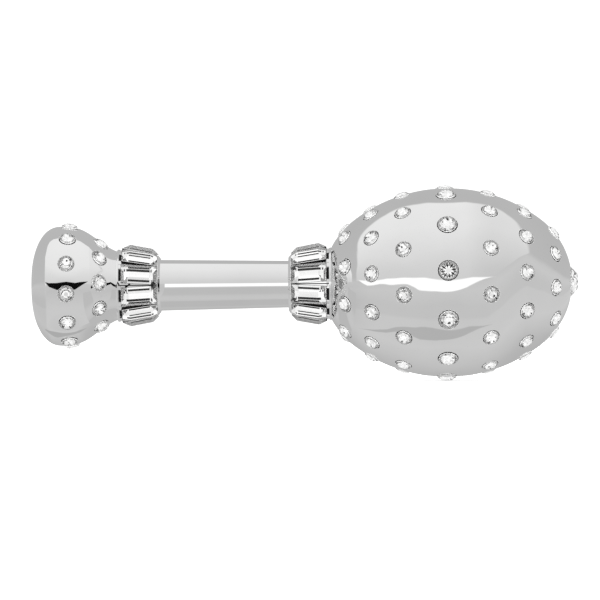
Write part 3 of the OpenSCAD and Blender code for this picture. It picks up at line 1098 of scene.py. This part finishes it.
class Amount:
    """A number worked out by shader nodes. Arithmetic on it adds the nodes."""

    def __init__(self, tree, socket):
        self.tree = tree
        self.socket = socket

    def do(self, operation, *others, swapped=False):
        made = node(self.tree, "ShaderNodeMath", operation=operation)
        values = (*others, self) if swapped else (self, *others)
        for place, value in enumerate(values):
            if isinstance(value, Amount):
                self.tree.links.new(value.socket, made.inputs[place])
            else:
                made.inputs[place].default_value = value
        return Amount(self.tree, made.outputs[0])

    def __add__(self, other):
        return self.do("ADD", other)

    def __sub__(self, other):
        return self.do("SUBTRACT", other)

    def __rsub__(self, other):
        return self.do("SUBTRACT", other, swapped=True)

    def __mul__(self, other):
        return self.do("MULTIPLY", other)

    def __truediv__(self, other):
        return self.do("DIVIDE", other)

    def ramp(self, low, high, stops):
        """A curve through (place, tone) stops between low and high."""
        share = (self - low) / (high - low)
        made = node(self.tree, "ShaderNodeValToRGB", Fac=share.socket)
        ramp = made.color_ramp
        while len(ramp.elements) < len(stops):
            ramp.elements.new(0.5)
        for element, (place, tone) in zip(ramp.elements, stops):
            element.position = (place - low) / (high - low)
            element.color = (tone, tone, tone, 1)
        return Amount(self.tree, made.outputs["Color"])

    def greys(self, *stops):
        """Display greys at (place, grey) stops between -90 and 90 degrees."""
        return self.ramp(-90, 90, [(place, grey(tone)) for place, tone in stops])

    def curve(self, *stops):
        """A broken line through (place, height) stops, between -90 and 90 both ways."""
        return self.ramp(-90, 90, [(place, (height + 90) / 180) for place, height in stops]) * 180 - 90

    def step(self, low, high):
        """Smooth step from 0 at low to 1 at high."""
        made = node(self.tree, "ShaderNodeMapRange", interpolation_type="SMOOTHSTEP", Value=self.socket,
                    From_Min=low, From_Max=high)
        return Amount(self.tree, made.outputs["Result"])

    def over(self, limit):
        return (self - limit).step(-0.5, 0.5)

    def under(self, limit):
        return (self - limit).step(0.5, -0.5)


def mix(share, a, b):
    return share * (b - a) + a


def mirror_angles(tree):
    """Swing and rise of a direction: the tilts, in degrees towards +X and upwards, that a mirror
    would need to send the front view there."""
    place = node(tree, "ShaderNodeTexCoord").outputs["Generated"]
    halfway = node(tree, "ShaderNodeVectorMath", operation="SUBTRACT")
    tree.links.new(place, halfway.inputs[0])
    halfway.inputs[1].default_value = (0, 1, 0)
    even = node(tree, "ShaderNodeVectorMath", operation="NORMALIZE")
    tree.links.new(halfway.outputs[0], even.inputs[0])
    parts = node(tree, "ShaderNodeSeparateXYZ", Vector=even.outputs[0])
    x, y, z = (Amount(tree, socket) for socket in parts.outputs)
    return x.do("ARCSINE") * (180 / math.pi), z.do("ARCTAN2", y * -1) * (180 / math.pi)


def room(swing, rise):
    """Greys of the room round the softbox, a little darker on the far left."""
    lift = swing.curve((-90, 0), (15, 0), (31, 21), (36, 16), (60, 4), (90, 4))
    tone = (rise - lift).greys(
        (-90, 177), (-76, 181), (-60, 192), (-44, 201), (-36, 199), (-24, 198), (-22, 193), (-15, 193),
        (-10, 196), (-5, 199), (0, 196), (5, 184), (58, 181), (90, 180))
    far_left = swing.step(-28, -40) * rise.step(2, -4)
    return tone * mix(far_left, 1.0, 0.93)


def softbox(swing, rise):
    """Tone of the wide softbox above the front, and where it shows."""
    tone = rise.greys((0, 205), (8, 208), (20, 219), (38, 229), (60, 232)) * mix(swing.step(4, 18), 1.0, 0.9)
    side = mix(swing.step(-2, 2), 36.0, 32.5)
    across = (swing.do("ABSOLUTE") / side).do("POWER", 4.0)
    up = (rise.do("MAXIMUM", 0.0) / 58.5).do("POWER", 4.0)
    low = swing.curve((-90, 2), (15.5, 2), (16.8, 3), (33.8, 25), (90, 60))
    return tone, (across + up).step(1.08, 0.92) * rise.over(low)


def white_strip(swing, rise):
    """Where the bright, ragged strip under the softbox shows."""
    low = swing.curve(
        (-90, 4), (-35.5, 4), (-34.6, 3), (-31, -0.7), (-27, 0.2), (-20, -2), (-15.5, -2.1), (-11.5, -4.7),
        (-6, -5.3), (1.3, -4.3), (7, -3), (11.7, 0.7), (16.9, 3), (20, 4))
    return rise.over(low) * rise.under(3.0)


def dark_band(swing, rise):
    """Where the darker band across the underside shows."""
    top = swing.curve(
        (-90, -60), (-37, -44), (-26, -36), (-19, -31.9), (-10, -28.5), (-4, -27.8), (1.3, -28.3),
        (7, -27.6), (16.9, -28.9), (19, -33))
    low = swing.curve(
        (-90, -50), (-37, -43.5), (-26, -38.4), (-19, -35.5), (-15, -36.2), (-11, -37.9), (-4, -37.7),
        (1.3, -35.7), (7, -33.5), (11.7, -30), (16.9, -29), (19, -28))
    return rise.over(low) * rise.under(top)


def studio():
    """Surroundings that the metal mirrors, as a smooth map of directions."""
    world = bpy.data.worlds.new("studio")
    bpy.context.scene.world = world
    world.use_nodes = True
    swing, rise = mirror_angles(world.node_tree)
    box_tone, box_place = softbox(swing, rise)
    tone = mix(box_place, room(swing, rise), box_tone)
    tone = mix(white_strip(swing, rise), tone, grey(258))
    tone = mix(dark_band(swing, rise), tone, grey(176)) / SILVER_SHARE
    fill(world.node_tree, world.node_tree.nodes["Background"], {"Color": tone.socket})


def seen_by(item, camera=False, diffuse=False, glossy=False, transmission=False, shadow=False):
    """Says which rays an object shows to."""
    item.visible_camera = camera
    item.visible_diffuse = diffuse
    item.visible_glossy = glossy
    item.visible_transmission = transmission
    item.visible_volume_scatter = False
    item.visible_shadow = shadow


def glow(name, tone=1.0, strength=1.0):
    """Plain emission for backdrops and cards. tone and strength are numbers, or functions that
    make a socket in the material."""
    material = bpy.data.materials.new(name)
    material.use_nodes = True
    tree = material.node_tree
    tree.nodes.clear()
    light = node(tree, "ShaderNodeEmission",
                 Color=tone(tree) if callable(tone) else (tone, tone, tone, 1),
                 Strength=strength(tree) if callable(strength) else strength)
    node(tree, "ShaderNodeOutputMaterial", Surface=light.outputs[0])
    return material


def soft_patches(tree):
    """Uneven brightness, which gives each facet of a stone its own tone."""
    return spread(tree, noise(tree, 1.1, 2.0), 0.72, 1.3)


def risen(*stops):
    """Tones that change with height, for glow(). stops are (height, display grey)."""
    def tone(tree):
        place = node(tree, "ShaderNodeTexCoord").outputs["Object"]
        height = Amount(tree, node(tree, "ShaderNodeSeparateXYZ", Vector=place).outputs["Z"]) / MM
        tones = [(z, mirrored_grey(shown)) for z, shown in stops]
        return height.ramp(stops[0][0], stops[-1][0], tones).socket
    return tone


def staged(name, points, faces, material):
    """A piece of the stage, which is no part of the rattle."""
    mesh = bpy.data.meshes.new(name)
    mesh.from_pydata(points, [], faces)
    mesh.materials.append(material)
    item = linked(name, mesh)
    return item


def circle(radius, turn):
    """Points of a circle round the origin."""
    angles = [2 * math.pi * k / turn for k in range(turn)]
    return [(radius * math.cos(angle), radius * math.sin(angle)) for angle in angles]


def backdrop():
    """White dome all round, which the camera sees, and an uneven one that the stones' insides see."""
    rows, turn, radius = 24, 48, 4.0
    points = []
    for i in range(rows + 1):
        lift = -math.pi / 2 + math.pi * i / rows
        points += [(x, y, radius * math.sin(lift)) for x, y in circle(radius * math.cos(lift), turn)]
    faces = [(i * turn + j, (i + 1) * turn + j, (i + 1) * turn + (j + 1) % turn, i * turn + (j + 1) % turn)
             for i in range(rows) for j in range(turn)]
    seen_by(staged("backdrop", points, faces, glow("backdrop_white", 1.0, 1.25)), camera=True)
    inner = [(x * 0.99, y * 0.99, z * 0.99) for x, y, z in points]
    surround = glow("surround_white", strength=soft_patches)
    seen_by(staged("stone_surround", inner, faces, surround), transmission=True)


def floor():
    """Pale floor at the height that the rattle rests on. It glows a little, so that the
    shadow on it stays soft."""
    turn = 96
    points = [(x, y, LOWEST * MM - 0.0001) for x, y in circle(3.9, turn)]
    material, tree = new_material("pale_floor")
    surface(tree, Base_Color=grey_between(tree, noise(tree, 3), 0.86, 0.88), Roughness=0.9,
            Specular_IOR_Level=0.0, Emission_Color=(1, 1, 1, 1), Emission_Strength=0.6)
    seen_by(staged("floor", points, [tuple(range(turn))], material), camera=True, diffuse=True, shadow=True)


def flag():
    """Black card round the lens, which only the inside of the stones sees."""
    turn = 48
    points = [(x, -0.7, z) for x, z in circle(0.12, turn)]
    seen_by(staged("lens_flag", points, [tuple(range(turn))], glow("flag_black", 0.01)), transmission=True)


def mirror_card(name, rows, radius, tilt, seats, reach, material):
    """Card that only polished metal mirrors, placed where the front camera sees its reflection
    in a turned surface. rows are (x, low, high): where the reflection shows in the axis plane,
    and its edges in degrees above the front. reach is the card's distance from the metal."""
    across, around = 60, 30
    stops = np.array(rows, float)
    x = np.linspace(stops[0, 0], stops[-1, 0], across)
    low, high = np.interp(x, stops[:, 0], stops[:, 1]), np.interp(x, stops[:, 0], stops[:, 2])
    share = np.linspace(0, 1, around)
    angle = np.radians(low[:, None] + (high - low)[:, None] * share).ravel()
    x = np.repeat(x, around)
    x = x - (x - CAMERA_TARGET[0]) * radius(x) * np.cos(angle) / CAMERA_AWAY
    r = radius(x)
    on = np.stack([x, -r * np.cos(angle), r * np.sin(angle)], 1)
    normal = unit(skin_normal(on, tilt) - dish(on, seats)[1])
    view = unit(CAMERA_SPOT - on)
    mirrored = 2 * (normal * view).sum(1)[:, None] * normal - view
    points = ((on + mirrored * reach) * MM).tolist()
    faces = [(i * around + j, i * around + j + 1, (i + 1) * around + j + 1, (i + 1) * around + j)
             for i in range(across - 1) for j in range(around - 1)]
    seen_by(staged(name, points, faces, material), glossy=True)


def pommel_cards():
    """Cards for the pommel: the black line on its front, a streak beside its collar, the light
    field above them, the shade above that, and the pale and the darker part of its underside."""
    black = glow("card_black", 0.004)
    white = glow("card_white", risen((0, 206), (7.6, 218), (12.6, 228), (26, 234)))
    taper_white = glow("card_taper_white", risen((0, 206), (7.6, 217), (12.6, 224), (26, 230)))
    shade = glow("card_shade", mirrored_grey(182))
    low_shade = glow("card_low_shade", mirrored_grey(171))
    pale = glow("card_pale", risen((-26, 196), (-20, 201), (-14, 200), (-9, 196), (-4, 191), (1, 196)))
    seats = joined(pommel_rows)
    layers = (
        ("pommel_card_line", 8, black, seats, (
            (3.2, 3.7, 3.9), (4.1, -0.9, 2.8), (6, -3.8, 2.8), (8.3, -3.7, 4), (10.5, -3.8, 2.8),
            (11.6, -0.8, 3.8), (13.6, 4.6, 4.8))),
        ("pommel_card_streak", 8, black, [], (
            (17.8, 1, 1.6), (18.4, 2, 4.2), (19.1, 3, 6), (19.8, -1, 3.4), (20.8, -3.5, -1))),
        ("pommel_card_low_shade", 12, low_shade, [], (
            (3, -52, -50), (6.2, -60, -49), (10, -57, -50), (13.2, -52.5, -52))),
        ("pommel_card_light", 15, white, [], (
            (3.2, 2, 30), (3.8, 2, 44), (4.4, 2, 49), (5.4, 2, 51.5), (7, 2, 52.6), (11.4, 2, 52.5),
            (14, 2, 49))),
        ("pommel_card_taper", 15.5, taper_white, seats, (
            (13.8, 1.5, 49.5), (15.2, 1.5, 44), (18.5, 1.5, 46.7), (20.9, 1, 54))),
        ("pommel_card_shade", 16, shade, [], (
            (3.2, 29, 75), (3.8, 43, 75), (4.4, 48, 75), (5.4, 50.5, 75), (11.4, 51, 75), (13.8, 48, 75),
            (15.2, 43, 75), (18.5, 45, 75), (20.9, 53, 75))),
        ("pommel_card_pale", 16, pale, [], ((3.4, -46, 2.5), (20.9, -46, 2.5))),
    )
    for name, reach, material, dishes, rows in layers:
        placed = [(POMMEL_END + along, low, high) for along, low, high in rows]
        mirror_card(name, placed, pommel_radius, pommel_tilt, dishes, reach, material)


def handle_cards():
    """Cards for the two tones of the handle's lower half."""
    tones = glow("card_handle", risen((-16, 190), (-14.5, 197), (-12.4, 195), (-10.5, 187), (-4, 186)))
    low = glow("card_handle_low", mirrored_grey(183))
    ends = (COLLAR_P_LARGE, COLLAR_H_LARGE)
    mirror_card("handle_card", [(x, -40, -7) for x in ends], handle_radius, handle_tilt, [], 12, tones)
    mirror_card("handle_card_low", [(x, -62, -40) for x in ends], handle_radius, handle_tilt, [], 12, low)


def soft_light(name, position, size, power):
    """Large area light aimed at the rattle. The metal mirrors the studio and not the light."""
    data = bpy.data.lights.new(name, "AREA")
    data.shape = "DISK"
    data.size, data.energy = size, power
    item = linked(name, data)
    item.location = position
    item.rotation_mode = "QUATERNION"
    item.rotation_quaternion = (-Vector(position)).to_track_quat("-Z", "Y")
    item.visible_glossy = False
    item.visible_camera = False
    item.visible_transmission = False


def camera():
    """Level camera a little to the head's side of the middle, rolled by half a degree."""
    data = bpy.data.cameras.new("camera")
    data.lens = 193.8
    data.sensor_width = 36.0
    data.clip_start, data.clip_end = 0.05, 20.0
    item = linked("camera", data)
    forward = Vector(CAMERA_FORWARD)
    level = Vector((math.cos(CAMERA_TURN), math.sin(CAMERA_TURN), 0))
    up = Vector((0, 0, 1))
    right = level * math.cos(CAMERA_ROLL) - up * math.sin(CAMERA_ROLL)
    above = up * math.cos(CAMERA_ROLL) + level * math.sin(CAMERA_ROLL)
    spot = Vector(CAMERA_SPOT * MM)
    item.matrix_world = Matrix((*zip(right, above, -forward, spot), (0, 0, 0, 1)))
    bpy.context.scene.camera = item


studio()
backdrop()
floor()
flag()
pommel_cards()
handle_cards()
soft_light("key_light", (-0.5, -0.9, 1.3), 1.2, 22)
soft_light("fill_light", (0.9, -0.4, 1.0), 1.2, 10)
soft_light("back_light", (0.1, 1.2, 1.1), 1.2, 10)
camera()
bpy.context.scene.view_settings.view_transform = "Standard"
bpy.context.scene.view_settings.look = "None"
